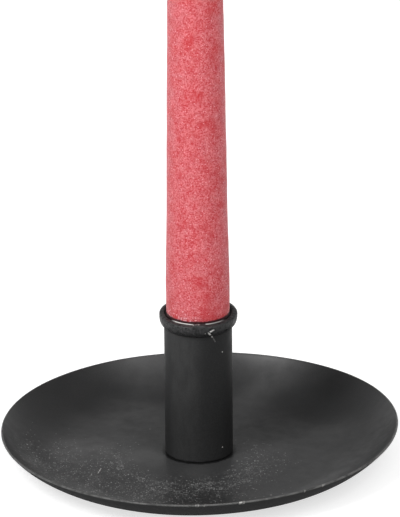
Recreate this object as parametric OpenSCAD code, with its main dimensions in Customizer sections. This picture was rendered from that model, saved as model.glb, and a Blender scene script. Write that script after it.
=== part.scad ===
// A chamber candlestick: a pressed steel drip dish, a tube socket with a forged ring
// round its mouth, and a tapered dinner candle that lifts out.
// Millimetres, +Z up. The origin is the middle of the dish where it meets the table.

/* [Drip dish] */
// Diameter over the lip
dish_d = 141; // [130:1:170]
// Height of the lip above the table
dish_h = 11.5; // [9:0.1:14]
// Thickness of the sheet
dish_t = 0.8; // [0.6:0.1:1.4]
// Outer diameter of the flat ring that rests on the table
foot_ring_d = 94; // [88:1:98]
// Width of the flat ring that rests on the table
foot_ring_w = 3; // [2:0.5:5]
// Rise of the floor from that ring to the tube
floor_rise = 0.95; // [0.5:0.05:1.4]

/* [Socket] */
// Outer diameter of the tube
tube_d = 24; // [23.4:0.1:28]
// Wall of the tube
tube_wall = 0.6; // [0.4:0.1:1.2]
// Length of the tube
tube_h = 52.8; // [35:0.1:70]
// Thickness of the plug in the foot of the tube
plug_h = 5; // [4:0.5:8]

/* [Mouth ring] */
// Height of the ring
ring_h = 4.3; // [3:0.1:6]
// How far the ring stands out from the tube
ring_proud = 1.65; // [1:0.05:2.5]
// Depth of the widest point below the top of the ring
ring_crown = 1.1; // [0.6:0.1:1.4]
// Width of the line where the two ends of the ring meet
joint_w = 0.4; // [0.2:0.1:0.8]

/* [Candle] */
// Length of the wax
candle_l = 200; // [150:1:240]
// Clearance round the wax in the socket, on the radius
candle_fit = 0.3; // [0.2:0.05:0.6]
// How much the wax swells above the mouth, on the radius
candle_swell = 0.1; // [0:0.05:0.2]
// Diameter of the wax where the tip begins
shoulder_d = 18.9; // [16:0.1:21]
// Height of the rounded tip
tip_h = 17; // [10:0.5:22]
// Diameter of the wick
wick_d = 2.2; // [1.6:0.1:2.6]
// Length of the wick above the wax
wick_out = 10; // [5:1:15]

/* [Fixing] */
// Diameter of the screw
screw_d = 4; // [3:0.5:5]
// Diameter of the screw's head and of the washer
head_d = 7.6; // [7:0.1:9]
// Height of the screw's head
head_h = 2.2; // [1.8:0.1:2.8]
// Thickness of the lock washer
washer_t = 0.8; // [0.6:0.1:1]

/* [Hidden] */
$fn = 96;

// One overrun for every cut
cut_over = 0.5;
// Steps in each curved stretch of an outline
arc_steps = 14;

// Room between the screw's head and the table
head_air = 0.4;
// Flat room round the screw's head, under the boss of the dish
boss_air = 1.8;
// Room between the boss and the bore of the tube
boss_fit = 0.4;
// Flat margin of the dish round the foot of the tube
seat_margin = 3;
// Room round the screw where it passes the dish, on the radius
hole_fit = 0.25;
// Room round the thread in the plug, on the radius
thread_fit = 0.02;
// Room round the screw in the washer, on the radius
washer_fit = 0.1;
// Width and lean of the slit across the washer
washer_slit = 0.7;
slit_lean = 20;
// Distance from the screw's tip to the top of the plug
tip_air = 0.8;
// Size across the flats and depth of the hexagonal recess in the head
hex_af = 2.5;
hex_depth = 1.3;
// Straight band at the edge of the head, above its dome
head_band = 0.5;
// Chamfers on the screw's tip, the plug's edges and the foot of the wax
screw_chamfer = 0.5;
plug_chamfer = 0.4;
wax_chamfer = 1.2;
// Chamfer on both edges of the tube's mouth
mouth_chamfer = 0.15;
// The ring stands this much over the tube's mouth
ring_over = 0.2;
// Depth of the joint line in the ring, and its place round the ring
joint_depth = 0.45;
joint_angle = 266.7;
// Roundness of the ring's section, above and below its widest point
crown_power = 3.4;
belly_power = 2.4;
// The wax starts to swell at the mouth and is full this much higher
swell_h = 3;
// Diameter of the flat round the wick at the top of the wax
tip_flat_d = 4;
// How pointed the tip is: 1 is a round dome
tip_power = 1.35;
// Chamfer at the end of the wick
wick_chamfer = 0.5;

tube_r = tube_d / 2;
bore_r = tube_r - tube_wall;
screw_r = screw_d / 2;
head_r = head_d / 2;
wick_r = wick_d / 2;

// The boss in the middle of the dish leaves room below for the head and the washer
boss_under = head_air + head_h + washer_t;
boss_top_r = head_r + boss_air;
boss_foot_r = bore_r - boss_fit;
head_top = boss_under - washer_t;

// The floor falls from the seat of the tube to the foot ring
seat_z = floor_rise + dish_t;
seat_r = tube_r + seat_margin;
foot_out_r = foot_ring_d / 2;
foot_in_r = foot_out_r - foot_ring_w;

// The wall is an arc from the foot ring to the lip, here along the middle of the sheet
wall_run = dish_d / 2 - dish_t / 2 - foot_out_r;
wall_rise = dish_h - dish_t;
wall_r = (wall_run * wall_run + wall_rise * wall_rise) / (2 * wall_rise);
lip_angle = 2 * atan(wall_rise / wall_run);

mouth_z = seat_z + tube_h;
plug_z = boss_under + dish_t;
plug_top = plug_z + plug_h;
screw_l = plug_top - tip_air - head_top;
ring_top = mouth_z + ring_over;
ring_wide_z = ring_top - ring_crown;
wax_r = bore_r - candle_fit;
wax_top = plug_top + candle_l;
shoulder_z = wax_top - tip_h;

paint = [0.16, 0.16, 0.16];
zinc = [0.62, 0.63, 0.64];
steel = [0.45, 0.46, 0.48];
wax = [0.84, 0.41, 0.43];
cotton = [0.92, 0.89, 0.82];

// Points on an arc about a centre, from one angle to another
function arc(centre, r, from, to) = [
    for (i = [0:arc_steps])
        let (a = from + (to - from) * i / arc_steps)
        centre + r * [cos(a), sin(a)]
];

// A fall in the sheet made of two equal arcs, from an upper flat to a lower one.
// The points lie at a distance, side, from the middle of the sheet.
function fall(from, to, side) =
    let (
        run = (to.x - from.x) / 2,
        drop = (from.y - to.y) / 2,
        r = (run * run + drop * drop) / (2 * drop),
        turn = 2 * atan(drop / run)
    )
    concat(
        arc([from.x, from.y - r], r + side, 90, 90 - turn),
        arc([to.x, to.y + r], r - side, 270 - turn, 270)
    );

// One face of the sheet, from the screw hole over the boss, the floor and the wall to the lip
function sheet_face(side) =
    let (mid = dish_t / 2)
    concat(
        [[screw_r + hole_fit, boss_under + mid + side]],
        fall([boss_top_r, boss_under + mid], [boss_foot_r, floor_rise + mid], side),
        fall([seat_r, floor_rise + mid], [foot_in_r, mid], side),
        arc([foot_out_r, mid + wall_r], wall_r - side, 270, 270 + lip_angle)
    );

// Points on a quarter of a rounded rectangle of half sizes w and h, from its side to its end
function soft_corner(w, h, power) = [
    for (i = [0:arc_steps])
        let (a = 90 * i / arc_steps)
        [w * pow(cos(a), 2 / power), h * pow(sin(a), 2 / power)]
];

function flip(points) = [for (i = [len(points) - 1:-1:0]) points[i]];

// The dish is one sheet with a boss that hides the screw's head, and its lip is rounded
module drip_dish() {
    lip = [dish_d / 2 - dish_t / 2, dish_h - dish_t / 2];
    color(paint)
        rotate_extrude()
            polygon(concat(
                sheet_face(-dish_t / 2),
                arc(lip, dish_t / 2, lip_angle - 90, lip_angle + 90),
                flip(sheet_face(dish_t / 2))
            ));
}

// The tube stands on the floor of the dish, round the boss, and is open at the top
module socket_tube() {
    color(paint)
        rotate_extrude()
            polygon([
                [bore_r, seat_z],
                [tube_r, seat_z],
                [tube_r, mouth_z - mouth_chamfer],
                [tube_r - mouth_chamfer, mouth_z],
                [bore_r + mouth_chamfer, mouth_z],
                [bore_r, mouth_z - mouth_chamfer]
            ]);
}

// A bar bent round the mouth, with a shallow line where its ends meet
module mouth_ring() {
    belly = ring_h - ring_crown;
    crown_side = [for (p = soft_corner(ring_proud, ring_crown, crown_power)) [tube_r + p.x, ring_wide_z + p.y]];
    belly_side = [for (p = soft_corner(ring_proud, belly, belly_power)) [tube_r + p.x, ring_wide_z - p.y]];
    color(paint)
        difference() {
            rotate_extrude()
                polygon(concat(flip(belly_side), [for (i = [1:arc_steps]) crown_side[i]]));
            rotate([0, 0, joint_angle])
                translate([tube_r + ring_proud - joint_depth, -joint_w / 2, ring_top - ring_h - cut_over])
                    cube([joint_depth + cut_over, joint_w, ring_h + 2 * cut_over]);
        }
}

// The plug lies on the boss, fills the bore, takes the screw and carries the candle
module socket_plug() {
    hole_r = screw_r + thread_fit;
    color(steel)
        rotate_extrude()
            polygon([
                [hole_r, plug_z],
                [bore_r - plug_chamfer, plug_z],
                [bore_r, plug_z + plug_chamfer],
                [bore_r, plug_top - plug_chamfer],
                [bore_r - plug_chamfer, plug_top],
                [hole_r, plug_top]
            ]);
}

// The screw comes up through the boss, with its domed head in the hollow below
module fixing_screw() {
    dome_h = head_h - head_band;
    dome = [for (i = [0:arc_steps])
        let (a = 90 * i / arc_steps)
        [head_r * sin(a), head_top - head_band - dome_h * cos(a)]];
    tip_z = head_top + screw_l;
    color(zinc)
        difference() {
            rotate_extrude()
                polygon(concat(
                    dome,
                    [
                        [head_r, head_top],
                        [screw_r, head_top],
                        [screw_r, tip_z - screw_chamfer],
                        [screw_r - screw_chamfer, tip_z],
                        [0, tip_z]
                    ]
                ));
            translate([0, 0, head_top - head_h - cut_over])
                cylinder(d = hex_af / cos(30), h = hex_depth + cut_over, $fn = 6);
        }
}

// A split spring washer between the head and the dish
module lock_washer() {
    hole_r = screw_r + washer_fit;
    color(zinc)
        difference() {
            translate([0, 0, head_top])
                cylinder(r = head_r, h = washer_t);
            translate([0, 0, head_top - cut_over])
                cylinder(r = hole_r, h = washer_t + 2 * cut_over);
            translate([0, 0, head_top + washer_t / 2])
                rotate([slit_lean, 0, 0])
                    translate([0, -washer_slit / 2, -head_r])
                        cube([head_d, washer_slit, head_d]);
        }
}

// The wax stands on the plug, fits the socket, tapers upwards and ends in a rounded tip
module candle_wax() {
    flat_r = tip_flat_d / 2;
    tip = [for (i = [0:arc_steps])
        let (a = 90 * i / arc_steps)
        [flat_r + (shoulder_d / 2 - flat_r) * pow(cos(a), tip_power), shoulder_z + tip_h * sin(a)]];
    color(wax)
        rotate_extrude()
            polygon(concat(
                [
                    [wick_r, plug_top],
                    [wax_r - wax_chamfer, plug_top],
                    [wax_r, plug_top + wax_chamfer],
                    [wax_r, mouth_z],
                    [wax_r + candle_swell, mouth_z + swell_h]
                ],
                tip,
                [[wick_r, wax_top]]
            ));
}

// The wick runs the whole length of the wax and stands out of its tip
module candle_wick() {
    wick_l = candle_l + wick_out;
    color(cotton)
        translate([0, 0, plug_top]) {
            cylinder(r = wick_r, h = wick_l - wick_chamfer);
            translate([0, 0, wick_l - wick_chamfer])
                cylinder(r1 = wick_r, r2 = wick_r - wick_chamfer, h = wick_chamfer);
        }
}

drip_dish();
socket_tube();
mouth_ring();
socket_plug();
fixing_screw();
lock_washer();
candle_wax();
candle_wick();
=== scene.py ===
"""The finish of a chamber candlestick: a black drip dish, a tube socket with a bent ring
round its mouth, and a frosted red dinner candle. Metres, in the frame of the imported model."""
import math

import bmesh
import bpy
from mathutils import Euler, Matrix, Vector


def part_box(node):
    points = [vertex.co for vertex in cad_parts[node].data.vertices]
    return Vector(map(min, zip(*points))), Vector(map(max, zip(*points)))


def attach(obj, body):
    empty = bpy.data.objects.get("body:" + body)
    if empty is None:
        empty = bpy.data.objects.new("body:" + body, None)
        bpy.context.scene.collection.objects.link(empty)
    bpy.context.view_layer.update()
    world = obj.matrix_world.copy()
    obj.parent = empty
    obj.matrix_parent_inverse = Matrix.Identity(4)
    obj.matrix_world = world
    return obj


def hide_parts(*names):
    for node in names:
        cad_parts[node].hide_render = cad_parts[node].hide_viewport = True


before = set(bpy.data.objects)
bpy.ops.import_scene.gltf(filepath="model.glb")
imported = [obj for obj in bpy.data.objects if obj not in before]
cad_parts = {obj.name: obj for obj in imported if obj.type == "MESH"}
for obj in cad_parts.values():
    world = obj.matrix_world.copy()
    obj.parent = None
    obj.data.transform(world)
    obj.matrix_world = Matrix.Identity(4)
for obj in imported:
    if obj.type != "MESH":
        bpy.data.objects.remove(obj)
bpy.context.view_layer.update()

MM = 0.001
FULL_TURN = 2 * math.pi
QUARTER = math.pi / 2
# Points nearer to each other than this become one
MERGE = 0.001 * MM


def mm(*sizes):
    """A point, or any other row of sizes, given in millimetres."""
    return tuple(size * MM for size in sizes)


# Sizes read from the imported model
DISH_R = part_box("drip_dish")[1].x
LIP_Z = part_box("drip_dish")[1].z
TUBE_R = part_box("socket_tube")[1].x
SEAT_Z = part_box("socket_tube")[0].z
MOUTH_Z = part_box("socket_tube")[1].z
RING_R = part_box("mouth_ring")[1].x
RING_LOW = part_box("mouth_ring")[0].z
RING_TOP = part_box("mouth_ring")[1].z
BORE_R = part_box("socket_plug")[1].x
PLUG_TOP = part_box("socket_plug")[1].z
HEAD_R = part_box("fixing_screw")[1].x
HEAD_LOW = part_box("fixing_screw")[0].z
SCREW_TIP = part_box("fixing_screw")[1].z
WASHER_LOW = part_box("lock_washer")[0].z
BOSS_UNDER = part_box("lock_washer")[1].z
WICK_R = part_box("candle_wick")[1].x
WAX_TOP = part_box("candle_wax")[1].z
WICK_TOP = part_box("candle_wick")[1].z

# The dish, as one bent sheet
SHEET = 0.8 * MM
HOLE_R = 2.25 * MM
BOSS_TOP_R = 5.6 * MM
BOSS_FOOT_R = BORE_R - 0.4 * MM
FLOOR_R = TUBE_R + 3 * MM
FOOT_IN_R = 44 * MM
FOOT_OUT_R = 47 * MM
DISH_WAVE = 0.12 * MM
LIP_DROP = 1.29 * MM
KICK_RISE = 2.69 * MM
KICK_ANGLE = math.radians(-7)
KICK_SPREAD = math.radians(60)
# The lip's slight rises in front: angle and spread in degrees, and height
FRONT_RISES = ((-73, 28, 0.58 * MM), (-124, 30, 0.30 * MM))
LIP_IN = 0.2 * MM
# The rubbed edge, lighter also as a painted highlight: how far in and down its middle lies, and how far
# from there it fades and ends
EDGE_IN = 0.2 * MM
EDGE_NEAR = 0.25 * MM
EDGE_FAR = 0.5 * MM
# A point whose normal points down by more than this lies underneath
DOWNWARD = -0.2

# The tube
FOOT_ROUND = 0.35 * MM
MOUTH_ROUND = 0.12 * MM
TUBE_WAVE = 0.03 * MM

# The ring, a bar with one flat side, bent round the mouth
RING_PROUD = RING_R - TUBE_R
RING_WIDE_Z = RING_TOP - 1.1 * MM
CROWN_POWER = 3.4
BELLY_POWER = 2.4
JOINT_ANGLE = math.radians(267)
JOINT_GAP = math.radians(0.5)
END_RISE = 0.12 * MM
RING_WAVE = 0.13 * MM
RING_TILT = math.radians(2.4)
RING_SWELL = 0.02 * MM
RIGHT_SWELL = 0.12 * MM
RING_LUMP = 0.55 * MM
LUMP_ANGLE = math.radians(272)
LUMP_HALF = math.radians(14)
END_SHARE = 0.055

# The candle
WAX_FOOT_R = BORE_R - 0.3 * MM
WAX_CHAMFER = 1.2 * MM
WAX_SWELL = 0.1 * MM
SWELL_H = 3 * MM
# The share of the swelling that is there at half its height
HALF_SWELL = 0.7
SHOULDER_R = 9.45 * MM
TIP_H = 17 * MM
TIP_FLAT_R = 2 * MM
TIP_POWER = 1.35
WAX_WAVE = 0.14 * MM
# The candle's swelling and its waist: height, spread and depth
WAX_BULGES = (mm(72, 10, 0.10), mm(94, 9, -0.08))

# The fixing
SCREW_R = 2 * MM
THREAD_DEPTH = 0.38 * MM
THREAD_PITCH = 0.7 * MM
HEAD_BAND = 0.5 * MM
HEX_FLATS = 2.5 * MM
HEX_DEPTH = 1.3 * MM
SCREW_PATH_R = 10 * MM
# So near the axis that the points round it merge
AXIS_R = MERGE
WASHER_ROOM = 0.1 * MM
WASHER_POWER = 8
WASHER_START = math.radians(7)
WASHER_SWEEP = math.radians(346)

# The wick
STRANDS = 3
STRAND_SIDES = 8
STRAND_R = 0.42 * MM
BRAID_RINGS = 1300
BRAID_PITCH = 4.2 * MM
BRAID_HALF_WIDTH = 0.62 * MM
BRAID_HALF_DEPTH = 0.30 * MM
BRAID_END = 0.4 * MM

# The finish
EDGE = "lip_edge"
OUTSIDE = "underneath"
DISH_GLOSS = 0.28
DISH_ROUGH = 0.37
TUBE_GLOSS = 0.1
TUBE_ROUGH = 0.50
RING_GLOSS = 0.2
RING_ROUGH = 0.42
OUTSIDE_GLOSS = 0.07
OUTSIDE_ROUGH = 0.85
GRAIN_MM = 0.5
CRUMB_MM = 1.0
DOT = 0.45 * MM
MARK_WIDTH = 0.5 * MM
CHIP_WIDTH = 0.95 * MM
# Lighter patches in the dish, haze together with painted light, and darker patches of painted shade:
# centre, size in millimetres and strength
HAZE_AND_LIGHT_PATCHES = (
    (mm(-41, 4, 1), 20, 0.66),
    (mm(-36, 26, 1), 17, 0.42),
    (mm(-24, 37, 1), 19, 0.66),
    (mm(-20, 61, 6), 16, 0.45),
    (mm(-21, -6, 1), 13, 0.50),
    (mm(17, 45, 2), 15, 0.45),
    (mm(27, 60, 7), 17, 0.58),
    (mm(47, 17, 2), 14, 0.32),
    (mm(-2, -20, 1.5), 9, 0.30),
)
# Darker patches of painted shade, among them the tube's shadow on the floor
PAINTED_SHADE_PATCHES = (
    (mm(22, 17, 1.5), 17, 0.74),
    (mm(-30, -29, 1), 20, 0.40),
    (mm(-50, -21, 2), 15, 0.40),
    (mm(-1, -44, 1), 30, 0.62),
    (mm(49, 46, 8), 15, 0.50),
)
# A film of haze over the floor but not the wall, which is also painted light
FLOOR_HAZE_AND_LIGHT = 0.10
DUST_CENTRE = mm(-4, -5, 1)
DISH_MARK = (mm(-35.7, -18.0, 0.8), mm(-34.7, -14.0, 0.9))
DISH_DOTS = (
    mm(-17.5, 19.8, 1.5),
    mm(13.3, -10.4, 1.7),
    mm(20.7, -10.2, 1.6),
    mm(-41.1, -10.6, 0.8),
)
# Chips in the lip: first and last angle in degrees, and strength
LIP_CHIPS = (
    (281.4, 282.6, 0.95),
    (301.2, 301.5, 0.5),
    (307.4, 308.0, 0.7),
    (269.0, 269.6, 0.5),
    (271.2, 271.6, 0.35),
)
# Strokes of the scratch under the ring: from, to, width and strength
SCRATCHES = (
    (mm(4.3, -13.2, 52.2), mm(5.5, -12.8, 52.7), 0.66 * MM, 1.0),
    (mm(3.6, -13.4, 51.8), mm(4.3, -12.9, 50.9), 0.66 * MM, 1.0),
    (mm(4.3, -11.2, 50.3), mm(5.0, -10.9, 49.4), 0.66 * MM, 1.0),
    (mm(5.0, -10.9, 49.4), mm(5.9, -10.4, 47.4), 0.50 * MM, 0.14),
    (mm(2.4, -13.6, 51.6), mm(2.6, -13.6, 51.6), 0.60 * MM, 0.5),
)
# Spots on a facet of the ring's crown, painted lighter as a highlight
FACET_HIGHLIGHT = (mm(-1.7, -12.8, 54.6), mm(-0.7, -12.7, 54.6), mm(0.2, -12.8, 54.8))
SCRATCH_PITS = (
    mm(3.1, -13.5, 51.4),
    mm(4.7, -13.0, 51.4),
    mm(4.2, -13.3, 53.0),
)
TUBE_DOTS = (mm(8.4, -8.5, 42.7), mm(8.25, -8.7, 6.4))

# The light: the sines of the heights between which the cove darkens, and its strengths
COVE_LOW = 0.12
COVE_HIGH = 0.52
CEILING = 0.08
ROOM_LIGHT = 0.45
FLOOR_WHITE = 0.55
FLOOR_GLOW = 0.68
FLOOR_NEAR = 0.15
FLOOR_FAR = 0.9
# The lamps: name, azimuth and elevation in degrees, distance, size and power
LAMPS = (
    ("key_lamp", -48, 48, 1.7, 0.65, 18.5),
    ("low_lamp", -50, 20, 1.7, 0.8, 5),
    ("side_lamp", 42, 48, 1.7, 0.8, 12),
    ("top_lamp", 25, 72, 1.6, 0.8, 4.5),
)

# The camera of the photograph, whose frame is 400 by 517 pixels
PHOTO_HEIGHT = 517
FOCAL_PIXELS = 7126
SENSOR = 36
CAMERA_DISTANCE = 2.5
CAMERA_ELEVATION = math.radians(21.68)
CAMERA_ROLL = math.radians(0.5)
CAMERA_AIM = Vector((0.88 * MM, 0, 74.7 * MM))


# Outlines

def arc(centre, radius, start, end, steps):
    """Points on an arc about a centre, with its angles in radians."""
    angles = [start + (end - start) * i / steps for i in range(steps + 1)]
    return [(centre[0] + radius * math.cos(a), centre[1] + radius * math.sin(a)) for a in angles]


def run(start, end, step):
    """Points on a straight line, a step apart, without its two ends."""
    length = math.hypot(end[0] - start[0], end[1] - start[1])
    count = max(1, round(length / step))
    shares = [i / count for i in range(1, count)]
    return [(start[0] + (end[0] - start[0]) * s, start[1] + (end[1] - start[1]) * s) for s in shares]


def fall(upper, lower, side):
    """A fall in the sheet made of two equal arcs, at a distance, side, from its middle."""
    width = (lower[0] - upper[0]) / 2
    drop = (upper[1] - lower[1]) / 2
    radius = (width * width + drop * drop) / (2 * drop)
    turn = 2 * math.atan(drop / width)
    return (
        arc((upper[0], upper[1] - radius), radius + side, QUARTER, QUARTER - turn, 10)
        + arc((lower[0], lower[1] + radius), radius - side, 3 * QUARTER - turn, 3 * QUARTER, 10)
    )


def sheet_side(side):
    """One face of the dish's sheet, from the screw hole over the boss and the floor to the lip."""
    middle = SHEET / 2
    floor_z = SEAT_Z - middle
    rise = LIP_Z - SHEET
    width = DISH_R - middle - FOOT_OUT_R
    wall_r = (width * width + rise * rise) / (2 * rise)
    lip_turn = 2 * math.atan(rise / width)
    foot = (FOOT_OUT_R, middle + side)
    return (
        [(HOLE_R, BOSS_UNDER + middle + side)]
        + fall((BOSS_TOP_R, BOSS_UNDER + middle), (BOSS_FOOT_R, floor_z), side)
        + fall((FLOOR_R, floor_z), (FOOT_IN_R, middle), side)
        + run((FOOT_IN_R, middle + side), foot, 0.75 * MM)
        + arc((FOOT_OUT_R, middle + wall_r), wall_r - side, -QUARTER, lip_turn - QUARTER, 44)
    ), lip_turn


def dish_outline():
    """The whole section of the dish, with a rounded lip."""
    lower, lip_turn = sheet_side(-SHEET / 2)
    upper, lip_turn = sheet_side(SHEET / 2)
    lip_middle = (DISH_R - SHEET / 2, LIP_Z - SHEET / 2)
    lip = arc(lip_middle, SHEET / 2, lip_turn - QUARTER, lip_turn + QUARTER, 12)
    return lower + lip[1:-1] + upper[::-1]


def tube_outline():
    """The wall of the tube, rounded at the foot outside and at both edges of the mouth."""
    foot = arc((TUBE_R - FOOT_ROUND, SEAT_Z + FOOT_ROUND), FOOT_ROUND, -QUARTER, 0, 6)
    outer_lip = arc((TUBE_R - MOUTH_ROUND, MOUTH_Z - MOUTH_ROUND), MOUTH_ROUND, 0, QUARTER, 5)
    inner_lip = arc((BORE_R + MOUTH_ROUND, MOUTH_Z - MOUTH_ROUND), MOUTH_ROUND, QUARTER, 2 * QUARTER, 5)
    bottom = (BORE_R, SEAT_Z)
    return (
        [bottom]
        + foot
        + run(foot[-1], outer_lip[0], 1.2 * MM)
        + outer_lip
        + inner_lip
        + run(inner_lip[-1], bottom, 3 * MM)
    )


def soft_corner(width, height, power):
    """A quarter of a rounded rectangle, from its side to its end."""
    angles = [QUARTER * i / 9 for i in range(10)]
    return [
        (width * max(0, math.cos(a)) ** (2 / power), height * math.sin(a) ** (2 / power))
        for a in angles
    ]


def ring_section():
    """The section of the ring's bar about the tube's wall, flat inside and round outside."""
    crown = soft_corner(RING_PROUD, RING_TOP - RING_WIDE_Z, CROWN_POWER)
    belly = soft_corner(RING_PROUD, RING_WIDE_Z - RING_LOW, BELLY_POWER)
    outside = [(x, -z) for x, z in belly[::-1]] + crown[1:]
    inside = run(outside[-1], outside[0], 0.5 * MM)
    return outside + inside


def wax_radius(z):
    """The radius of the candle at a height above its mouth and below its shoulder."""
    start = MOUTH_Z + SWELL_H
    shoulder = WAX_TOP - TIP_H
    share = (z - start) / (shoulder - start)
    radius = WAX_FOOT_R + WAX_SWELL + (SHOULDER_R - WAX_FOOT_R - WAX_SWELL) * share
    for height, spread, swell in WAX_BULGES:
        radius += swell * math.exp(-((z - height) / spread) ** 2)
    return radius


def wax_outline():
    """The section of the candle, from its foot in the socket over its tip to the wick."""
    start = MOUTH_Z + SWELL_H
    shoulder = WAX_TOP - TIP_H
    rows = 176
    heights = [start + (shoulder - start) * i / rows for i in range(rows)]
    tip_angles = [QUARTER * i / 26 for i in range(27)]
    foot_edge = (WAX_FOOT_R, PLUG_TOP + WAX_CHAMFER)
    tip_width = SHOULDER_R - TIP_FLAT_R
    tip = [
        (TIP_FLAT_R + tip_width * max(0, math.cos(a)) ** TIP_POWER, shoulder + TIP_H * math.sin(a))
        for a in tip_angles
    ]
    return (
        [(WICK_R, PLUG_TOP), (WAX_FOOT_R - WAX_CHAMFER, PLUG_TOP), foot_edge]
        + run(foot_edge, (WAX_FOOT_R, MOUTH_Z), 4 * MM)
        + [(WAX_FOOT_R, MOUTH_Z), (WAX_FOOT_R + WAX_SWELL * HALF_SWELL, MOUTH_Z + SWELL_H / 2)]
        + [(wax_radius(z), z) for z in heights]
        + tip
        + [(WICK_R, WAX_TOP)]
        + run((WICK_R, WAX_TOP), (WICK_R, PLUG_TOP), 20 * MM)
    )


def screw_outline():
    """The screw, with a domed head below and a shank that takes the thread."""
    dome_h = WASHER_LOW - HEAD_LOW - HEAD_BAND
    dome_angles = [QUARTER * i / 14 for i in range(1, 15)]
    tip = (SCREW_R - THREAD_DEPTH, SCREW_TIP)
    shank_top = (SCREW_R, SCREW_TIP - THREAD_DEPTH)
    return (
        [(HEAD_R * math.sin(a), HEAD_LOW + dome_h * (1 - math.cos(a))) for a in dome_angles]
        + [(HEAD_R, WASHER_LOW), (SCREW_R, WASHER_LOW)]
        + run((SCREW_R, WASHER_LOW), shank_top, THREAD_PITCH / 12)
        + [shank_top, tip]
    )


# Node trees

def add(tree, kind, inputs=None, **settings):
    """Adds one node to a tree, makes its settings, and fills or links its inputs."""
    new = tree.nodes.new(kind)
    for name, value in settings.items():
        setattr(new, name, value)
    for name, value in (inputs or {}).items():
        if isinstance(value, bpy.types.NodeSocket):
            tree.links.new(value, new.inputs[name])
        else:
            new.inputs[name].default_value = value
    return new


def first(tree, kind, inputs=None, **settings):
    """The first output of a new node."""
    return add(tree, kind, inputs, **settings).outputs[0]


def tree_of(values):
    """The tree of the first socket among some values."""
    return next(value.id_data for value in values if isinstance(value, bpy.types.NodeSocket))


def maths(operation, *values):
    """One step of arithmetic on numbers or sockets."""
    return first(tree_of(values), "ShaderNodeMath", dict(enumerate(values)), operation=operation)


def folded(operation, values):
    """Numbers or sockets taken together, one after another."""
    result = values[0]
    for value in values[1:]:
        result = maths(operation, result, value)
    return result


def product(*values):
    """Some numbers or sockets multiplied."""
    return folded("MULTIPLY", values)


def total(*values):
    """Some numbers or sockets added up."""
    return folded("ADD", values)


def largest(*values):
    """The largest of some numbers or sockets."""
    return folded("MAXIMUM", values)


def vector(operation, *values, **named):
    """The outputs of one step of arithmetic on vectors."""
    inputs = dict(enumerate(values)) | named
    return add(tree_of(inputs.values()), "ShaderNodeVectorMath", inputs, operation=operation).outputs


def xyz(place):
    """The three parts of a vector."""
    return add(place.id_data, "ShaderNodeSeparateXYZ", {0: place}).outputs


def combined(**parts):
    """A vector from its parts."""
    return first(tree_of(parts.values()), "ShaderNodeCombineXYZ", parts)


def ramp(value, low, high, start=0.0, end=1.0):
    """A smooth step of a value, from start at low to end at high."""
    inputs = {"Value": value, "From Min": low, "From Max": high, "To Min": start, "To Max": end}
    return first(value.id_data, "ShaderNodeMapRange", inputs, interpolation_type="SMOOTHSTEP")


def fade(length, low, high, start=0.0, end=1.0, base=0.0):
    """A smooth step of a length, between two levels in millimetres above a base."""
    return ramp(length, base + low * MM, base + high * MM, start, end)


def geometry_tree(name, sizes):
    """A tree with a geometry input and output, and one named input for each size."""
    tree = bpy.data.node_groups.new(name, "GeometryNodeTree")
    tree.interface.new_socket("Geometry", in_out="INPUT", socket_type="NodeSocketGeometry")
    tree.interface.new_socket("Geometry", in_out="OUTPUT", socket_type="NodeSocketGeometry")
    for label, kind in sizes.items():
        tree.interface.new_socket(label, in_out="INPUT", socket_type="NodeSocket" + kind)
    return tree, tree.nodes.new("NodeGroupInput").outputs


def floats(*labels):
    """Inputs that are plain numbers, for a tree's sizes."""
    return dict.fromkeys(labels, "Float")


def swept(tree, path, section, capped=False):
    """The surface of a section that follows a path."""
    inputs = {"Curve": path, "Profile Curve": section, "Fill Caps": capped}
    return first(tree, "GeometryNodeCurveToMesh", inputs)


def finish_tree(tree, geometry, material):
    """Ends a tree: smooth faces, real geometry and the piece's material."""
    smooth = first(tree, "GeometryNodeSetShadeSmooth", {"Geometry": geometry})
    real = first(tree, "GeometryNodeRealizeInstances", {"Geometry": smooth})
    painted = first(tree, "GeometryNodeSetMaterial", {"Geometry": real, "Material": material})
    add(tree, "NodeGroupOutput", {0: painted})


def wave_offset(tree, sizes):
    """How far each point moves outwards and upwards, as a smooth noise that starts at a height."""
    place = first(tree, "GeometryNodeInputPosition")
    height = xyz(place)["Z"]
    flat = vector("MULTIPLY", place, (1, 1, 0))[0]
    outwards = vector("NORMALIZE", flat)[0]
    fineness = maths("DIVIDE", 1.0, sizes["Wave Size"])
    cloud_inputs = {"Vector": place, "W": sizes["Seed"], "Scale": fineness, "Detail": 1.0}
    cloud = first(tree, "ShaderNodeTexNoise", cloud_inputs, noise_dimensions="4D")
    swing = product(maths("SUBTRACT", cloud, 0.5), 2.0)
    strength = ramp(height, sizes["Still Below"], sizes["Full Above"])
    amount = product(swing, strength, sizes["Wave Height"])
    across = product(amount, maths("SUBTRACT", 1.0, sizes["Upward Share"]))
    upwards = product(amount, sizes["Upward Share"])
    sideways = vector("SCALE", outwards, Scale=across)[0]
    lifted = combined(Z=upwards)
    return vector("ADD", sideways, lifted)[0]


def finish_waved(tree, sweep, sizes):
    """Moves a swept surface by its waves and ends the tree."""
    moved = first(tree, "GeometryNodeSetPosition", {"Geometry": sweep, "Offset": wave_offset(tree, sizes)})
    finish_tree(tree, moved, sizes["Finish"])


# In the order in which the function wave takes them
WAVE_SIZES = floats("Wave Height", "Wave Size", "Upward Share", "Still Below", "Full Above", "Seed")


def turned_tree():
    """Turns an outline once round the upright axis."""
    sizes = {"Path Radius": "Float", "Segments": "Int", "Finish": "Material"} | WAVE_SIZES
    tree, given = geometry_tree("turned_on_axis", sizes)
    outline = first(tree, "GeometryNodeMeshToCurve", {"Mesh": given["Geometry"]})
    path_inputs = {"Resolution": given["Segments"], "Radius": given["Path Radius"]}
    path = first(tree, "GeometryNodeCurvePrimitiveCircle", path_inputs)
    finish_waved(tree, swept(tree, path, outline), given)
    return tree


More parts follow.
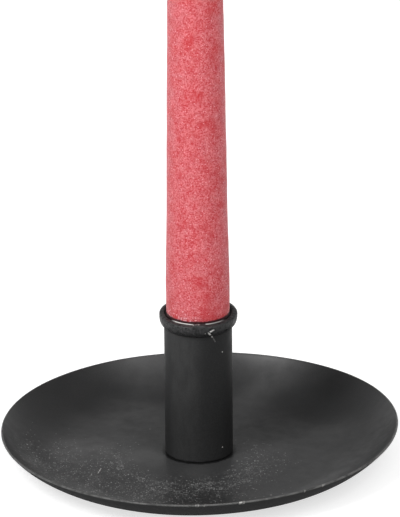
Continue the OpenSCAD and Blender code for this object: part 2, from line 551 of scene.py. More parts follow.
def bent_bar_tree():
    """Bends a bar of a given section round the upright axis, with two ends that nearly meet."""
    sizes = floats("Path Radius", "Height", "Start Angle", "Sweep Angle", "End Rise", "Rise Share")
    sizes |= {"Segments": "Int", "Finish": "Material"} | WAVE_SIZES
    tree, given = geometry_tree("bar_bent_round", sizes)
    section = first(tree, "GeometryNodeMeshToCurve", {"Mesh": given["Geometry"]})
    path_inputs = {
        "Resolution": given["Segments"],
        "Radius": given["Path Radius"],
        "Start Angle": given["Start Angle"],
        "Sweep Angle": given["Sweep Angle"],
    }
    path = first(tree, "GeometryNodeCurveArc", path_inputs, mode="RADIUS")
    along = add(tree, "GeometryNodeSplineParameter").outputs["Factor"]
    near_end = ramp(along, 0.0, given["Rise Share"], 1.0, 0.0)
    lift = total(given["Height"], product(near_end, given["End Rise"]))
    lifted = combined(Z=lift)
    placed = first(tree, "GeometryNodeSetPosition", {"Geometry": path, "Offset": lifted})
    finish_waved(tree, swept(tree, placed, section, capped=True), given)
    return tree


def braid_tree():
    """Plaits strands along the upright axis into a flat wick."""
    sizes = floats("Low", "High", "Pitch", "Half Width", "Half Depth", "Strand Radius")
    sizes |= {"Strands": "Int", "Rings": "Int", "Finish": "Material"}
    tree, given = geometry_tree("plaited_wick", sizes)
    low = combined(Z=given["Low"])
    high = combined(Z=given["High"])
    line = first(tree, "GeometryNodeCurvePrimitiveLine", {"Start": low, "End": high})
    points = first(tree, "GeometryNodeResampleCurve", {"Curve": line, "Count": given["Rings"]})
    copies_inputs = {"Geometry": points, "Amount": given["Strands"]}
    copies = add(tree, "GeometryNodeDuplicateElements", copies_inputs, domain="SPLINE")
    place = first(tree, "GeometryNodeInputPosition")
    height = xyz(place)["Z"]
    turns = maths("DIVIDE", height, given["Pitch"])
    lag = maths("DIVIDE", copies.outputs["Duplicate Index"], given["Strands"])
    angle = product(total(turns, lag), FULL_TURN)
    across = product(maths("SINE", angle), given["Half Width"])
    double = product(angle, 2.0)
    through = product(maths("SINE", double), given["Half Depth"])
    offset = combined(X=across, Y=through)
    plaited = first(tree, "GeometryNodeSetPosition", {"Geometry": copies.outputs[0], "Offset": offset})
    section_inputs = {"Resolution": STRAND_SIDES, "Radius": given["Strand Radius"]}
    section = first(tree, "GeometryNodeCurvePrimitiveCircle", section_inputs)
    finish_tree(tree, swept(tree, plaited, section, capped=True), given["Finish"])
    return tree


def set_input(modifier, name, value):
    """Sets a modifier's input, found by its name, through its socket's identifier."""
    for item in modifier.node_group.interface.items_tree:
        if item.item_type == "SOCKET" and item.in_out == "INPUT" and item.name == name:
            modifier[item.identifier] = value


def loop_mesh(name, points):
    """A closed loop of edges, drawn in the plane that Curve to Mesh takes as a section."""
    mesh = bpy.data.meshes.new(name)
    count = len(points)
    edges = [(i, (i + 1) % count) for i in range(count)]
    mesh.from_pydata([(x, -z, 0) for x, z in points], edges, [])
    return mesh


def new_object(name, data):
    """A new object in the scene, at the origin."""
    made = bpy.data.objects.new(name, data)
    bpy.context.scene.collection.objects.link(made)
    return made


def built(name, build, **sizes):
    """A new object with one of bmesh's own shapes."""
    work = bmesh.new()
    build(work, **sizes)
    mesh = bpy.data.meshes.new(name)
    work.to_mesh(mesh)
    work.free()
    return new_object(name, mesh)


def keep_result(piece, modifier):
    """Makes a modifier's result the piece's own plain mesh."""
    graph = bpy.context.evaluated_depsgraph_get()
    result = bpy.data.meshes.new_from_object(piece.evaluated_get(graph))
    piece.modifiers.remove(modifier)
    piece.data = result


def tidy_mesh(mesh):
    """Merges doubles and turns every face outwards."""
    work = bmesh.new()
    work.from_mesh(mesh)
    bmesh.ops.remove_doubles(work, verts=work.verts, dist=MERGE)
    bmesh.ops.recalc_face_normals(work, faces=work.faces)
    work.to_mesh(mesh)
    work.free()


def grown(name, mesh, tree, values):
    """A new piece: the tree's result on a mesh, as a plain mesh at the origin."""
    piece = new_object(name, mesh)
    modifier = piece.modifiers.new("form", "NODES")
    modifier.node_group = tree
    for label, value in values.items():
        set_input(modifier, label, value)
    keep_result(piece, modifier)
    piece.data.name = name
    tidy_mesh(piece.data)
    return piece


def turned_piece(name, outline, material, segments, path_r=None, **waves):
    """A piece turned from an outline of (radius, height) points, along a path that can be given."""
    path_r = path_r or sum(radius for radius, height in outline) / len(outline)
    section = loop_mesh(name + "_outline", [(radius - path_r, height) for radius, height in outline])
    values = {"Path Radius": path_r, "Segments": segments, "Finish": material}
    return grown(name, section, TURNED, values | waves)


# Materials

def new_finish(name, **constants):
    """A material with its shader's own values set, and a position to draw patterns from."""
    material = bpy.data.materials.new(name)
    material.use_nodes = True
    tree = material.node_tree
    shader = tree.nodes["Principled BSDF"]
    for socket, value in constants.items():
        shader.inputs[socket.replace("_", " ")].default_value = value
    place = add(tree, "ShaderNodeTexCoord").outputs["Object"]
    return material, shader, place


def noise(place, size, detail=2.0, roughness=0.5):
    """A cloudy pattern with blots of about a given size in millimetres."""
    inputs = {"Vector": place, "Scale": 1 / (size * MM), "Detail": detail, "Roughness": roughness}
    return first(place.id_data, "ShaderNodeTexNoise", inputs)


def mixed(share, under, over):
    """A colour between two colours."""
    tree = share.id_data
    new = add(tree, "ShaderNodeMix", {"Factor": share}, data_type="RGBA")
    for socket, value in ((new.inputs[6], under), (new.inputs[7], over)):
        if isinstance(value, bpy.types.NodeSocket):
            tree.links.new(value, socket)
        else:
            socket.default_value = (*value, 1)
    return new.outputs[2]


def coated(colour, coats):
    """A colour under some coats, each with its mask and its own colour, the lowest first."""
    for mask, coat in coats:
        colour = mixed(mask, colour, coat)
    return colour


def bumped(height, depth, under=None):
    """A bump from a height pattern, its depth in millimetres, over another bump if one is given."""
    inputs = {"Height": height, "Distance": depth * MM, "Strength": 1.0}
    if under is not None:
        inputs["Normal"] = under
    return first(height.id_data, "ShaderNodeBump", inputs)


def distance_to(place, centre):
    """The distance from a point."""
    return vector("DISTANCE", place, centre)["Value"]


def soft_patches(place, centres, size):
    """Round patches about given points, that fade over their size."""
    return largest(*(ramp(distance_to(place, centre), size, 0.0) for centre in centres))


def sized_patches(place, patches):
    """Round patches, each with its own centre, size in millimetres and strength, added up."""
    masks = []
    for centre, size, strength in patches:
        masks.append(fade(distance_to(place, centre), size, 0, 0.0, strength))
    return total(*masks)


def spots(place, centres, size):
    """Ragged spots about given points."""
    ragged = product(noise(place, 0.5, 3.0), size)
    masks = []
    for centre in centres:
        far = total(distance_to(place, centre), ragged)
        masks.append(ramp(far, 0.8 * size, 1.2 * size, 1.0, 0.0))
    return largest(*masks)


def stroke(place, start, end, width):
    """A ragged scratch from one point to another."""
    along = Vector(end) - Vector(start)
    offset = vector("SUBTRACT", place, start)[0]
    share = vector("DOT_PRODUCT", offset, along / along.length_squared)["Value"]
    held = first(place.id_data, "ShaderNodeClamp", {"Value": share})
    nearest = vector("SCALE", along, Scale=held)[0]
    distance = vector("DISTANCE", offset, nearest)["Value"]
    ragged = product(noise(place, 0.6, 3.0), width)
    return ramp(total(distance, ragged), 0.6 * width, 1.1 * width, 1.0, 0.0)


def shifted(place):
    """The same place far off in a pattern, for a second set that doesn't follow the first."""
    return vector("ADD", place, (0.37, 0.11, 0.23))[0]


def attribute(place, name):
    """The numbers that a piece's points carry under a name."""
    return add(place.id_data, "ShaderNodeAttribute", attribute_name=name).outputs["Fac"]


def lengthways(place, share):
    """The place with its height shrunk to a share, for marks that run up and down."""
    return first(place.id_data, "ShaderNodeMapping", {"Vector": place, "Scale": (1, 1, share)})


def specks(place, size, share, spread, dullest=1.0):
    """Round grains in a share of the cells, of a size in millimetres, some of them duller."""
    inputs = {"Vector": place, "Scale": 1 / (size * MM)}
    scattered = add(place.id_data, "ShaderNodeTexVoronoi", inputs).outputs
    chances = add(place.id_data, "ShaderNodeSeparateColor", {0: scattered["Color"]}).outputs
    chosen = maths("LESS_THAN", chances[0], share)
    grain = ramp(scattered["Distance"], 0.6 * spread, spread, 1.0, 0.0)
    return product(chosen, grain, ramp(chances[1], 0.0, 1.0, dullest, 1.0))


def radius_of(place):
    """The distance from the upright axis."""
    flat = vector("MULTIPLY", place, (1, 1, 0))[0]
    return vector("LENGTH", flat)["Value"]


PAINT_DARK = (0.020, 0.0202, 0.0206)
PAINT_LIGHT = (0.030, 0.0302, 0.0306)
# A pale haze, used also as painted light on the dish and the tube
HAZE_AND_PAINTED_LIGHT = (0.085, 0.0848, 0.0848)
POWDER = (0.125, 0.125, 0.124)
DUST = (0.30, 0.30, 0.295)
# The rubbed lip, lighter also as a painted highlight
RUBBED_AND_HIGHLIGHT = (0.11, 0.11, 0.108)
# Bare metal, used also as a painted highlight on the ring's facet
BARE_AND_HIGHLIGHT = (0.62, 0.61, 0.59)
# Near black: grime and pits, and painted shade in the dish and on the tube
GRIME_AND_PAINTED_SHADE = (0.004, 0.004, 0.004)
# Lighter stains, also used as painted light
STAIN_AND_PAINTED_LIGHT = (0.062, 0.060, 0.062)
# The underside, a little lighter than the paint: painted light from the floor below
UNDERSIDE_WITH_PAINTED_LIGHT = (0.034, 0.034, 0.0345)
ZINC = (0.62, 0.63, 0.65)
TURNED_STEEL = (0.42, 0.43, 0.45)
COTTON_DARK = (0.55, 0.48, 0.36)
COTTON_PALE = (0.86, 0.81, 0.70)


def paint_base(name, gloss, rough):
    """Satin black paint: its fine grain, its uneven gloss and its orange peel."""
    material, shader, place = new_finish(name, Specular_IOR_Level=gloss)
    grain = noise(place, 0.45, 3.0, 0.7)
    clouds = noise(place, 30, 2.0)
    tone = total(product(grain, 0.65), product(clouds, 0.35))
    colour = mixed(ramp(tone, 0.35, 0.65), PAINT_DARK, PAINT_LIGHT)
    uneven = noise(place, 4, 4.0, 0.6)
    roughness = ramp(uneven, 0.25, 0.75, rough - 0.04, rough + 0.06)
    peel = bumped(noise(place, 0.7, 3.0), 0.010)
    return material, shader, place, colour, roughness, peel


def link_finish(shader, **values):
    """Links values that vary to the shader's inputs."""
    for name, value in values.items():
        shader.id_data.links.new(value, shader.inputs[name.replace("_", " ")])


def dish_dust(place, radius):
    """Where grains lie: in a crescent before the tube, along the left wall and thinly in front."""
    x, y = xyz(place)[:2]
    front = fade(y, 14, -16)
    left = fade(x, 8, -34)
    drift = ramp(noise(place, 7, 3.0), 0.25, 0.70, 0.3, 1.0)
    clumps = ramp(noise(place, 2.2, 3.0, 0.6), 0.40, 0.62, 0.3, 1.0)
    around = distance_to(place, DUST_CENTRE)
    uneven = total(around, product(noise(place, 9), 5 * MM))
    arcs = ramp(noise(combined(X=uneven), 2.4, 2.0), 0.38, 0.62, 0.35, 1.0)
    near_in = fade(around, 17, 25)
    near_out = fade(around, 44, 26)
    far_in = fade(radius, 36, 47)
    far_out = fade(radius, 69, 60)
    less_left = fade(x, -42, -12, 0.45, 1.0)
    less_right = fade(x, 5, 26, 1.0, 0.45)
    near = product(front, near_in, near_out, less_left, less_right)
    far = product(left, fade(y, 24, -12), far_in, far_out, 0.5)
    wide = product(front, fade(x, 40, -20), near_in, far_out, 0.45)
    swirled = product(near, clumps, arcs, 2.1)
    return product(largest(swirled, far, wide), drift)


def dish_grains(place, amount):
    """Fine grains and a few coarser crumbs, as many as an amount allows."""
    few = product(amount, 0.5)
    fine = product(specks(place, GRAIN_MM, few, 0.55, 0.3), 0.64)
    fewer = product(few, 0.16)
    crumbs = product(specks(shifted(place), CRUMB_MM, fewer, 0.34, 0.4), 0.9)
    return largest(fine, crumbs)


def lip_chips(place):
    """The chips in the lip, each as a mask of its own."""
    masks = []
    for start, end, depth in LIP_CHIPS:
        tips = [lip_point(math.radians(angle)) for angle in (start, end)]
        masks.append(product(stroke(place, *tips, CHIP_WIDTH), depth))
    return masks


def dish_paint():
    """The dish's paint: haze with painted light and dust in the hollow, painted shade in patches and round
    the tube, an underside painted lighter as painted light, a rubbed and chipped lip with a painted
    highlight.
    """
    material, shader, place, colour, roughness, peel = paint_base("dish_paint", DISH_GLOSS, DISH_ROUGH)
    radius = radius_of(place)
    amount = dish_dust(place, radius)
    x, y = xyz(place)[:2]
    # The two ends of the dish and its front wall are painted darker below: painted shade
    ends = fade(maths("ABSOLUTE", x), 50, 68)
    wall = product(fade(radius, 46, 60), fade(y, 20, -5))
    cloudy = ramp(noise(place, 7, 4.0, 0.6), 0.3, 0.7, 0.45, 1.0)
    # Lighter patches, haze together with painted light and highlights on the back wall, and a film over
    # the floor that spares the wall
    haze_and_light = product(sized_patches(place, HAZE_AND_LIGHT_PATCHES), cloudy)
    film = total(haze_and_light, ramp(wall, 0.0, 1.0, FLOOR_HAZE_AND_LIGHT, 0.0))
    painted_shade = total(sized_patches(place, PAINTED_SHADE_PATCHES), product(wall, 0.40))
    powder = ramp(noise(place, 0.7, 3.0, 0.7), 0.44, 0.64)
    stray = product(spots(place, DISH_DOTS, DOT), 0.4)
    mark = product(stroke(place, *DISH_MARK, MARK_WIDTH), 0.55)
    # Painted shade in the crevice round the tube's foot, with a ragged edge
    ragged = product(noise(place, 1.6, 3.0, 0.6), 2.4 * MM)
    uneven_edge = total(radius, ragged)
    crevice_shade = fade(uneven_edge, 1.8, 2.8, 1.0, 0.0, base=TUBE_R)
    outside = attribute(place, OUTSIDE)
    roughness = largest(roughness, product(outside, OUTSIDE_ROUGH))
    duller = maths("SUBTRACT", ramp(ends, 0.0, 1.0, 1.0, 0.7), product(painted_shade, 0.35))
    gloss = product(ramp(outside, 0.0, 1.0, DISH_GLOSS, OUTSIDE_GLOSS), duller)
    edge = attribute(place, EDGE)
    worn = ramp(noise(place, 3.5, 4.0, 0.6), 0.32, 0.60, 0.25, 0.95)
    coats = (
        # Painted shade: darker patches, the front wall and the two ends
        (total(painted_shade, product(ends, 0.2)), GRIME_AND_PAINTED_SHADE),
        # Haze, partly painted light
        (film, HAZE_AND_PAINTED_LIGHT),
        (product(powder, amount, 0.75), POWDER),
        (dish_grains(place, amount), DUST),
        (product(crevice_shade, 0.9), GRIME_AND_PAINTED_SHADE),
        # The underside painted a little lighter, as painted light
        (outside, UNDERSIDE_WITH_PAINTED_LIGHT),
        # The rubbed edge of the lip, also a painted highlight
        (product(edge, worn), RUBBED_AND_HIGHLIGHT),
        (largest(stray, mark, *lip_chips(place)), BARE_AND_HIGHLIGHT),
    )
    colour = coated(colour, coats)
    link_finish(shader, Base_Color=colour, Normal=peel, Roughness=roughness, Specular_IOR_Level=gloss)
    return material


def tube_scratch(place):
    """The forked scratch under the ring, with its loose end and two far dots."""
    masks = []
    for start, end, width, depth in SCRATCHES:
        masks.append(product(stroke(place, start, end, width), depth))
    masks.append(spots(place, TUBE_DOTS, 0.4 * MM))
    return largest(*masks)


def tube_paint():
    """The tube's paint: a film on its left that is a painted highlight, a worn front to its mouth, and
    painted shade low down, on its right, at its foot, under the ring and at its mouth.
    """
    material, shader, place, colour, roughness, peel = paint_base("tube_paint", TUBE_GLOSS, TUBE_ROUGH)
    x, y, z = xyz(place)
    uneven = total(z, product(noise(place, 2.5, 3.0), 1.2 * MM))
    marks = lengthways(place, 0.35)
    cloudy = ramp(noise(marks, 3, 4.0, 0.6), 0.3, 0.7, 0.5, 1.0)
    # A lighter film on the left front, weaker lower down: a painted highlight with some haze
    from_left = fade(x, -11.2, -8.5)
    from_right = fade(x, 3, -4)
    facing = fade(y, 1, -1)
    lower = fade(z, 5, 45, 0.55, 1.0)
    film = product(from_left, from_right, facing, cloudy, lower, 0.36)
    # Painted shade round the foot, under the ring and at the mouth, where parts meet
    foot_shade = fade(uneven, 0.6, 1.5, 0.8, 0.0, base=SEAT_Z)
    level = maths("SUBTRACT", z, product(y, math.tan(RING_TILT)))
    shade_under_ring = fade(level, -0.45, -0.25, base=RING_LOW)
    mouth = fade(z, -0.35, -0.12, base=MOUTH_Z)
    outer = fade(radius_of(place), 0.18, 0.33, base=BORE_R)
    front = fade(y, -7.0, -9.6)
    wear = ramp(noise(place, 1.5, 2.0), 0.2, 0.5, 0.6, 1.0)
    less = fade(x, 0, 7, 1.0, 0.45)
    coats = (
        # The painted highlight on the left
        (film, HAZE_AND_PAINTED_LIGHT),
        # Painted shade: lower down, on the right side, round the foot, under the ring and at the mouth
        (fade(z, 12, 40, 0.14, 0.0), GRIME_AND_PAINTED_SHADE),
        (fade(x, 7.5, 11.5, 0.0, 0.3), GRIME_AND_PAINTED_SHADE),
        (foot_shade, GRIME_AND_PAINTED_SHADE),
        (shade_under_ring, GRIME_AND_PAINTED_SHADE),
        (mouth, GRIME_AND_PAINTED_SHADE),
        (product(mouth, outer, front, wear, less), BARE_AND_HIGHLIGHT),
        (tube_scratch(place), BARE_AND_HIGHLIGHT),
    )
    link_finish(shader, Base_Color=coated(colour, coats), Normal=peel, Roughness=roughness)
    return material


def ring_paint():
    """The ring's paint, a little worn on its crown and scratched at its lower edge, with stains that grow
    towards its left as painted light and a painted highlight on a facet.
    """
    material, shader, place, colour, roughness, peel = paint_base("ring_paint", RING_GLOSS, RING_ROUGH)
    # Lighter stains, stronger towards the left as painted light
    left = fade(xyz(place)["X"], 9, -9, 0.15, 0.65)
    stains = ramp(noise(place, 0.75, 3.0, 0.7), 0.44, 0.60)
    pits = ramp(noise(shifted(place), 1.0, 3.0, 0.6), 0.38, 0.46, 1.0, 0.0)
    dents = bumped(noise(place, 1.5, 2.0, 0.5), 0.35, peel)
    coats = (
        (product(stains, left), STAIN_AND_PAINTED_LIGHT),
        (product(pits, 0.8), GRIME_AND_PAINTED_SHADE),
        # A bare spot on the facet, lighter as a painted highlight
        (product(spots(place, FACET_HIGHLIGHT, 0.7 * MM), 0.4), BARE_AND_HIGHLIGHT),
        (spots(place, SCRATCH_PITS, 0.8 * MM), GRIME_AND_PAINTED_SHADE),
        (tube_scratch(place), BARE_AND_HIGHLIGHT),
    )
    link_finish(shader, Base_Color=coated(colour, coats), Normal=dents, Roughness=roughness)
    return material


def steel(name, colour, rough, rings):
    """Bare metal with turning marks about the upright axis and dull patches."""
    material, shader, place = new_finish(name, Metallic=1.0)
    lines = noise(combined(X=radius_of(place)), rings, 3.0)
    patches = noise(place, 3, 4.0)
    darker = tuple(0.7 * part for part in colour)
    roughness = ramp(patches, 0.3, 0.7, rough, rough + 0.2)
    blend = mixed(patches, darker, colour)
    link_finish(shader, Base_Color=blend, Normal=bumped(lines, 0.01), Roughness=roughness)
    return material


WAX_DEEP = (0.55, 0.015, 0.020)
WAX_MAIN = (0.55, 0.038, 0.048)
WAX_PALE = (0.74, 0.216, 0.242)
WAX_FROST = (0.86, 0.52, 0.55)
# Near black red, for the painted shade at the mouth
WAX_PAINTED_SHADE = (0.05, 0.006, 0.008)
WAX_REDS = (
    mm(1.2, -11.0, 70.6),
    mm(2.5, -11.0, 62.0),
    mm(3.9, -10.5, 56.4),
    mm(3.0, -10.3, 88.0),
    mm(7.4, -7.5, 111.0),
    mm(7.4, -7.5, 106.5),
    mm(6.3, -7.7, 152.7),
    mm(5.4, -8.1, 170.0),
    mm(-1.8, -10.0, 137.4),
    mm(4.4, -9.3, 129.0),
    mm(-2.3, -9.6, 159.0),
)
WAX_PALES = (
    mm(-4.5, -10.3, 60.0),
    mm(-4.1, -10.4, 68.9),
    mm(-9.0, -4.7, 136.6),
    mm(-4.6, -8.6, 167.8),
)


def wax_clouds(place, height):
    """Where the wax is redder: low down, in clouds and in some places of their own."""
    low_down = fade(height, 0, 11, 0.12, 0.0, base=MOUTH_Z)
    clouds = total(noise(place, 4.5, 5.0, 0.75), low_down)
    redder = product(soft_patches(place, WAX_REDS, 6 * MM), 0.085)
    paler = product(soft_patches(place, WAX_PALES, 7 * MM), 0.13)
    clouds = maths("SUBTRACT", total(clouds, redder), paler)
    return ramp(clouds, 0.48, 0.68)


def frosted_wax():
    """Rustic wax: red clouds under a fine pale grain of crystals, painted shade at the mouth, rubbed
    below.
    """
    material, shader, place = new_finish(
        "frosted_wax",
        Subsurface_Weight=0.8,
        Subsurface_Radius=mm(10, 3, 2.5),
        Subsurface_Scale=1.0,
        Specular_IOR_Level=0.3,
        Roughness=0.62,
        Sheen_Weight=0.1,
    )
    side = xyz(place)
    height = side["Z"]
    patches = wax_clouds(place, height)
    film = ramp(noise(place, 2.4, 4.0, 0.7), 0.42, 0.66)
    grain = ramp(noise(place, 0.55, 2.0, 0.6), 0.34, 0.66)
    colour = mixed(grain, WAX_MAIN, WAX_PALE)
    many = maths("SUBTRACT", 0.16, product(patches, 0.06))
    crystals = specks(place, 0.62, many, 0.36)
    pits = specks(shifted(place), 0.70, 0.16, 0.36)
    # Painted shade on the wax round the mouth, from a little inside the tube to just above it, with ragged
    # edges
    lost = product(noise(place, 1.2, 3.0), 0.7 * MM)
    sunk = maths("SUBTRACT", height, lost)
    over = fade(sunk, 0.45, 0.15, base=MOUTH_Z)
    mouth_shade = product(over, fade(sunk, -3.2, -0.8, base=MOUTH_Z))
    streaks = ramp(noise(lengthways(place, 0.1), 1.1, 3.0, 0.6), 0.35, 0.62, 0.15, 0.85)
    in_tube = fade(height, -0.5, -3.0, base=MOUTH_Z)
    near_mouth = fade(height, 5, 0.5, base=MOUTH_Z)
    left = fade(side["X"], 2, -4)
    crumbs = specks(shifted(place), 0.85, product(near_mouth, left, 0.8), 0.42)
    coats = (
        (product(film, 0.14), WAX_FROST),
        (product(patches, 0.58), WAX_DEEP),
        (product(pits, 0.6), WAX_DEEP),
        (product(crystals, 0.75), WAX_FROST),
        (product(streaks, in_tube), WAX_DEEP),
        (product(crumbs, 0.75), WAX_FROST),
        (mouth_shade, WAX_PAINTED_SHADE),
    )
    coarse = bumped(noise(place, 2.5, 3.0), 0.10)
    fine = bumped(grain, 0.03, coarse)
    link_finish(shader, Base_Color=coated(colour, coats), Normal=fine)
    return material


def cotton():
    """Plaited cotton, stained with wax where it leaves the candle."""
    material, shader, place = new_finish("waxed_cotton", Roughness=0.7, Specular_IOR_Level=0.3)
    height = xyz(place)["Z"]
    fibres = noise(lengthways(place, 0.25), 0.12, 3.0)
    colour = mixed(fibres, COTTON_DARK, COTTON_PALE)
    stained = fade(height, 0.5, 3.5, 1.0, 0.0, base=WAX_TOP)
    colour = mixed(stained, colour, WAX_MAIN)
    link_finish(shader, Base_Color=colour, Normal=bumped(fibres, 0.03))
    return material


# Shapes that are moved after they are made

def smooth_step(value, low, high):
    """From 0 at low to 1 at high, with soft ends."""
    share = min(1, max(0, (value - low) / (high - low)))
    return share * share * (3 - 2 * share)


def from_angle(angle, middle):
    """How far an angle is from another, the short way round."""
    return (angle - middle + math.pi) % FULL_TURN - math.pi


def polar(point):
    """The radius and the angle of a point about the upright axis."""
    return math.hypot(point.x, point.y), math.atan2(point.y, point.x)


def move_across(point, share):
    """Moves a point towards the upright axis or away from it."""
    point.x *= share
    point.y *= share


def lip_shift(angle):
    """How far the lip stands above its plain height: high at the right, a little in front."""
    off = from_angle(angle, KICK_ANGLE) / KICK_SPREAD
    shift = KICK_RISE * math.exp(-off * off) - LIP_DROP
    for middle, spread, rise in FRONT_RISES:
        off = from_angle(angle, math.radians(middle)) / math.radians(spread)
        shift += rise * math.exp(-off * off)
    return shift


def lip_point(angle):
    """The middle of the lip's edge at an angle."""
    radius = DISH_R - SHEET / 2 - LIP_IN * (1 - math.cos(angle))
    return (radius * math.cos(angle), radius * math.sin(angle), LIP_Z - SHEET / 2 + lip_shift(angle))


def bend_lip(piece):
    """Bends the wall of the dish, as its pressing and its use left it, and marks its edge."""
    edge = piece.data.attributes.new(EDGE, "FLOAT", "POINT")
    outside = piece.data.attributes.new(OUTSIDE, "FLOAT", "POINT")
    faces_down = [vertex.normal.z < DOWNWARD for vertex in piece.data.vertices]
    for vertex in piece.data.vertices:
        point = vertex.co
        radius, angle = polar(point)
        from_edge = math.hypot(radius - DISH_R + EDGE_IN, point.z - LIP_Z + EDGE_IN)
        edge.data[vertex.index].value = 1 - smooth_step(from_edge, EDGE_NEAR, EDGE_FAR)
        outside.data[vertex.index].value = float(faces_down[vertex.index])
        share = smooth_step(radius, FOOT_OUT_R, DISH_R)
        point.z += lip_shift(angle) * share
        move_across(point, 1 - LIP_IN * (1 - math.cos(angle)) * share / radius)


def settle_ring(piece):
    """Tilts the ring to the front and leaves it thick on the right and lumpy at its joint."""
    tilt = math.tan(RING_TILT)
    for vertex in piece.data.vertices:
        point = vertex.co
        radius, angle = polar(point)
        proud = max(0, radius - TUBE_R) / RING_PROUD
        off = abs(from_angle(angle, LUMP_ANGLE)) / LUMP_HALF
        lump = 1 - smooth_step(off, 0.55, 1.0)
        crown = smooth_step(point.z, RING_LOW, RING_TOP)
        more = RING_SWELL * (1 + lump) + RIGHT_SWELL * (1 + math.cos(angle))
        point.z += tilt * point.y + RING_LUMP * lump * crown
        move_across(point, 1 + proud * more / radius)


def cut_thread(piece):
    """Moves the shank's surface in along a helix."""
    start = BOSS_UNDER
    end = SCREW_TIP - THREAD_DEPTH
    for vertex in piece.data.vertices:
        point = vertex.co
        radius, angle = polar(point)
        if abs(radius - SCREW_R) > 0.01 * MM or not start < point.z < end:
            continue
        phase = (point.z / THREAD_PITCH - angle / FULL_TURN) % 1
        depth = THREAD_DEPTH * (1 - abs(2 * phase - 1))
        depth *= smooth_step(point.z, start, start + THREAD_PITCH)
        move_across(point, 1 - depth / radius)


def cut_hexagon(piece):
    """Sinks a hexagonal recess into the screw's head."""
    corner_r = HEX_FLATS / 2 / math.cos(math.pi / 6)
    sizes = {"segments": 6, "radius1": corner_r, "radius2": corner_r, "depth": 2 * HEX_DEPTH}
    place = Matrix.Translation((0, 0, HEAD_LOW))
    cutter = built("hexagon", bmesh.ops.create_cone, cap_ends=True, matrix=place, **sizes)
    modifier = piece.modifiers.new("recess", "BOOLEAN")
    modifier.object = cutter
    modifier.operation = "DIFFERENCE"
    keep_result(piece, modifier)
    bpy.data.objects.remove(cutter)


# The pieces

TURNED = turned_tree()
BENT_BAR = bent_bar_tree()
BRAID = braid_tree()
NO_WAVE = {"Wave Size": 1.0, "Wave Height": 0.0}


def wave(height, size, upward, still_below, full_above, seed):
    """The inputs of a wave, by the names of the tree's sockets."""
    return dict(zip(WAVE_SIZES, (height, size, upward, still_below, full_above, float(seed))))


def make_dish():
    """The pressed dish, with its waves and its bent lip."""
    waves = wave(DISH_WAVE, size=24 * MM, upward=1.0, still_below=SEAT_Z, full_above=6 * MM, seed=3)
    piece = turned_piece("dish_sheet", dish_outline(), dish_paint(), segments=360, **waves)
    bend_lip(piece)
    return piece


def make_tube():
    """The wall of the tube, a little uneven above its foot."""
    still = SEAT_Z + 2 * MM
    full = SEAT_Z + 8 * MM
    waves = wave(TUBE_WAVE, size=9 * MM, upward=0.0, still_below=still, full_above=full, seed=5)
    return turned_piece("tube_wall", tube_outline(), tube_paint(), segments=240, **waves)


def make_ring():
    """The bar bent round the mouth."""
    section = loop_mesh("ring_section", ring_section())
    values = {
        "Path Radius": TUBE_R,
        "Height": RING_WIDE_Z,
        "Segments": 300,
        "Start Angle": JOINT_ANGLE + JOINT_GAP / 2,
        "Sweep Angle": FULL_TURN - JOINT_GAP,
        "End Rise": END_RISE,
        "Rise Share": END_SHARE,
        "Finish": ring_paint(),
    }
    waves = wave(RING_WAVE, size=4 * MM, upward=0.4, still_below=0.0, full_above=1 * MM, seed=8)
    piece = grown("mouth_bar", section, BENT_BAR, values | waves)
    settle_ring(piece)
    return piece


def make_washer():
    """The split spring washer under the screw's head."""
    half_width = (HEAD_R - SCREW_R - WASHER_ROOM) / 2
    half_height = (BOSS_UNDER - WASHER_LOW) / 2
    corner = soft_corner(half_width, half_height, WASHER_POWER)
    back = [(-x, z) for x, z in corner[::-1]]
    top = corner + back[1:]
    section = top + [(x, -z) for x, z in top[::-1]][1:-1]
    values = {
        "Path Radius": HEAD_R - half_width,
        "Height": WASHER_LOW + half_height,
        "Segments": 96,
        "Start Angle": WASHER_START,
        "Sweep Angle": WASHER_SWEEP,
        "Rise Share": 1.0,
        "Finish": steel("washer_zinc", ZINC, 0.3, 0.2),
    }
    return grown("washer_coil", loop_mesh("washer_section", section), BENT_BAR, values | NO_WAVE)


def make_screw():
    """The screw, with its thread and the recess in its head."""
    zinc = steel("screw_zinc", ZINC, 0.28, 0.15)
    outline = [(AXIS_R, HEAD_LOW)] + screw_outline() + [(AXIS_R, SCREW_TIP)]
    piece = turned_piece("fixing_bolt", outline, zinc, segments=72, path_r=SCREW_PATH_R, **NO_WAVE)
    cut_thread(piece)
    cut_hexagon(piece)
    return piece


def make_candle():
    """The wax, from its foot in the socket to its tip."""
    full = MOUTH_Z + 5 * MM
    waves = wave(WAX_WAVE, size=8 * MM, upward=0.0, still_below=MOUTH_Z, full_above=full, seed=12)
    return turned_piece("candle_body", wax_outline(), frosted_wax(), segments=360, **waves)


def make_wick():
    """The plaited wick, through the wax and out of its tip."""
    values = {
        "Low": PLUG_TOP,
        "High": WICK_TOP - BRAID_END,
        "Strands": STRANDS,
        "Rings": BRAID_RINGS,
        "Pitch": BRAID_PITCH,
        "Half Width": BRAID_HALF_WIDTH,
        "Half Depth": BRAID_HALF_DEPTH,
        "Strand Radius": STRAND_R,
        "Finish": cotton(),
    }
    return grown("wick_braid", bpy.data.meshes.new("wick_line"), BRAID, values)


# How each piece is made, the node it replaces, its body and its slot
PIECES = (
    (make_dish, "drip_dish", "holder", "black_paint"),
    (make_tube, "socket_tube", "holder", "black_paint"),
    (make_ring, "mouth_ring", "holder", "black_paint"),
    (make_screw, "fixing_screw", "holder", "zinc_steel"),
    (make_washer, "lock_washer", "holder", "zinc_steel"),
    (make_candle, "candle_wax", "candle", "red_wax"),
    (make_wick, "candle_wick", "candle", "cotton_wick"),
)
for make, node, body, slot in PIECES:
    made = make()
    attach(made, body)
    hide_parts(node)

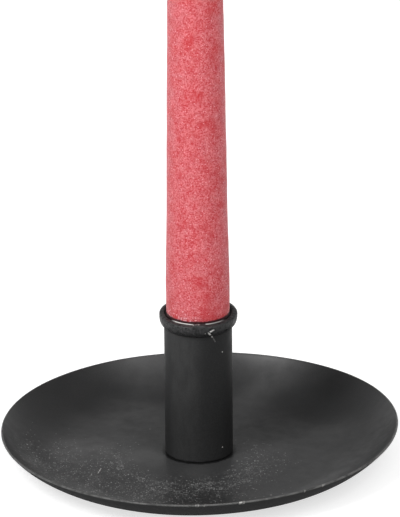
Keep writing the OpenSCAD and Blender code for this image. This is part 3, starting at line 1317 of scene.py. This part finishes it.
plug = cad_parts["socket_plug"]
plug.data.materials.clear()
plug.data.materials.append(steel("turned_plug", TURNED_STEEL, 0.38, 0.3))


# The studio

def shows_backdrop(tree):
    """1 for the rays that see the backdrop itself, and 0 for those that only carry its light."""
    rays = add(tree, "ShaderNodeLightPath").outputs
    seen = total(rays["Is Camera Ray"], rays["Is Glossy Ray"])
    return maths("MINIMUM", total(seen, rays["Is Transmission Ray"]), 1.0)


def make_floor():
    """A plain white floor that keeps the object's shadow."""
    floor = built("floor", bmesh.ops.create_grid, x_segments=1, y_segments=1, size=20)
    material = bpy.data.materials.new("floor_white")
    material.use_nodes = True
    tree = material.node_tree
    tree.nodes.clear()
    diffuse = first(tree, "ShaderNodeBsdfDiffuse", {"Color": (FLOOR_WHITE, FLOOR_WHITE, FLOOR_WHITE, 1)})
    place = add(tree, "ShaderNodeTexCoord").outputs["Object"]
    strength = ramp(radius_of(place), FLOOR_NEAR, FLOOR_FAR, FLOOR_GLOW, 1.0)
    glow_inputs = {"Color": (1, 1, 1, 1), "Strength": product(shows_backdrop(tree), strength)}
    glow = first(tree, "ShaderNodeEmission", glow_inputs)
    both = first(tree, "ShaderNodeAddShader", {0: diffuse, 1: glow})
    add(tree, "ShaderNodeOutputMaterial", {"Surface": both})
    floor.data.materials.append(material)


def white_light(tree, strength):
    """Plain white light from the world."""
    return first(tree, "ShaderNodeBackground", {"Color": (1, 1, 1, 1), "Strength": strength})


def make_world():
    """A cove that is white low down and dim above, and a weaker light of the same kind."""
    world = bpy.data.worlds.new("studio")
    world.use_nodes = True
    tree = world.node_tree
    tree.nodes.clear()
    direction = add(tree, "ShaderNodeTexCoord").outputs["Generated"]
    rise = xyz(direction)["Z"]
    cove = ramp(rise, COVE_LOW, COVE_HIGH, 1.0, CEILING)
    light = white_light(tree, product(cove, ROOM_LIGHT))
    backdrop = white_light(tree, cove)
    both = first(tree, "ShaderNodeMixShader", {0: shows_backdrop(tree), 1: light, 2: backdrop})
    add(tree, "ShaderNodeOutputWorld", {"Surface": both})
    bpy.context.scene.world = world


def softbox(name, azimuth, elevation, distance, size, power):
    """A square area lamp that faces the object."""
    lamp = bpy.data.lights.new(name, "AREA")
    lamp.size = size
    lamp.energy = power
    holder = new_object(name, lamp)
    turn = math.radians(azimuth)
    rise = math.radians(elevation)
    away = Vector((math.sin(turn) * math.cos(rise), -math.cos(turn) * math.cos(rise), math.sin(rise)))
    holder.location = away * distance
    holder.rotation_euler = away.to_track_quat("Z", "Y").to_euler()


def make_camera():
    """The photograph's view, from in front and a little above."""
    camera = bpy.data.cameras.new("camera")
    camera.sensor_width = SENSOR
    camera.lens = SENSOR * FOCAL_PIXELS / PHOTO_HEIGHT
    camera.clip_end = 100
    holder = new_object("camera", camera)
    back = Vector((0, -math.cos(CAMERA_ELEVATION), math.sin(CAMERA_ELEVATION)))
    holder.location = CAMERA_AIM + back * CAMERA_DISTANCE
    level = back.to_track_quat("Z", "Y").to_matrix()
    rolled = level @ Euler((0, 0, -CAMERA_ROLL)).to_matrix()
    holder.rotation_euler = rolled.to_euler()
    bpy.context.scene.camera = holder


make_floor()
make_world()
for lamp in LAMPS:
    softbox(*lamp)
make_camera()
bpy.context.scene.view_settings.view_transform = "Standard"
